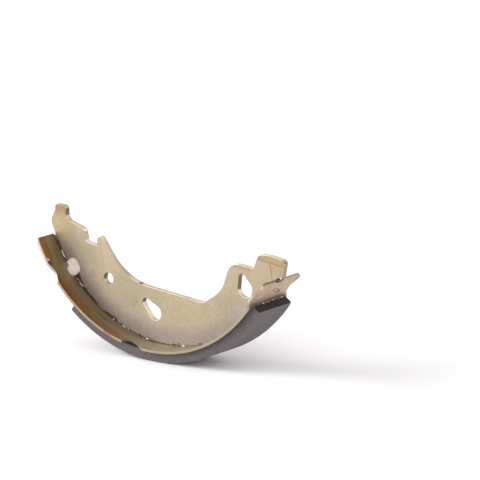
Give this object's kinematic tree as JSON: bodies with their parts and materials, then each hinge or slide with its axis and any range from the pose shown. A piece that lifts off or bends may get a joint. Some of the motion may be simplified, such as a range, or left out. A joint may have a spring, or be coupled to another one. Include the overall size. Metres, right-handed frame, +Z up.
{
  "type": "drum brake shoe",
  "caption": "Drum brake shoe: a crescent web of sheet steel with a forked toe and a lobed heel, welded to a curled rim that carries a bonded friction lining.",
  "frame": {"origin": "the middle of the shoe's length and width, on the ground plane that the lining rests on; the web's middle plane is y = 0 and the drum's axis runs along Y at z = 100 mm, x = -0.35 mm", "axes": "+X towards the lobed heel, +Y along the drum's axis to the far side of the web, +Z up from the lining towards the drum's axis"},
  "size_m": [0.1749, 0.044, 0.0809],
  "materials": {
    "web": "satin",
    "rim": "satin",
    "lining": "matte"
  },
  "bodies": {
    "root": {"web": "web", "rim": "rim", "lining": "lining"}
  },
  "joints": []
}
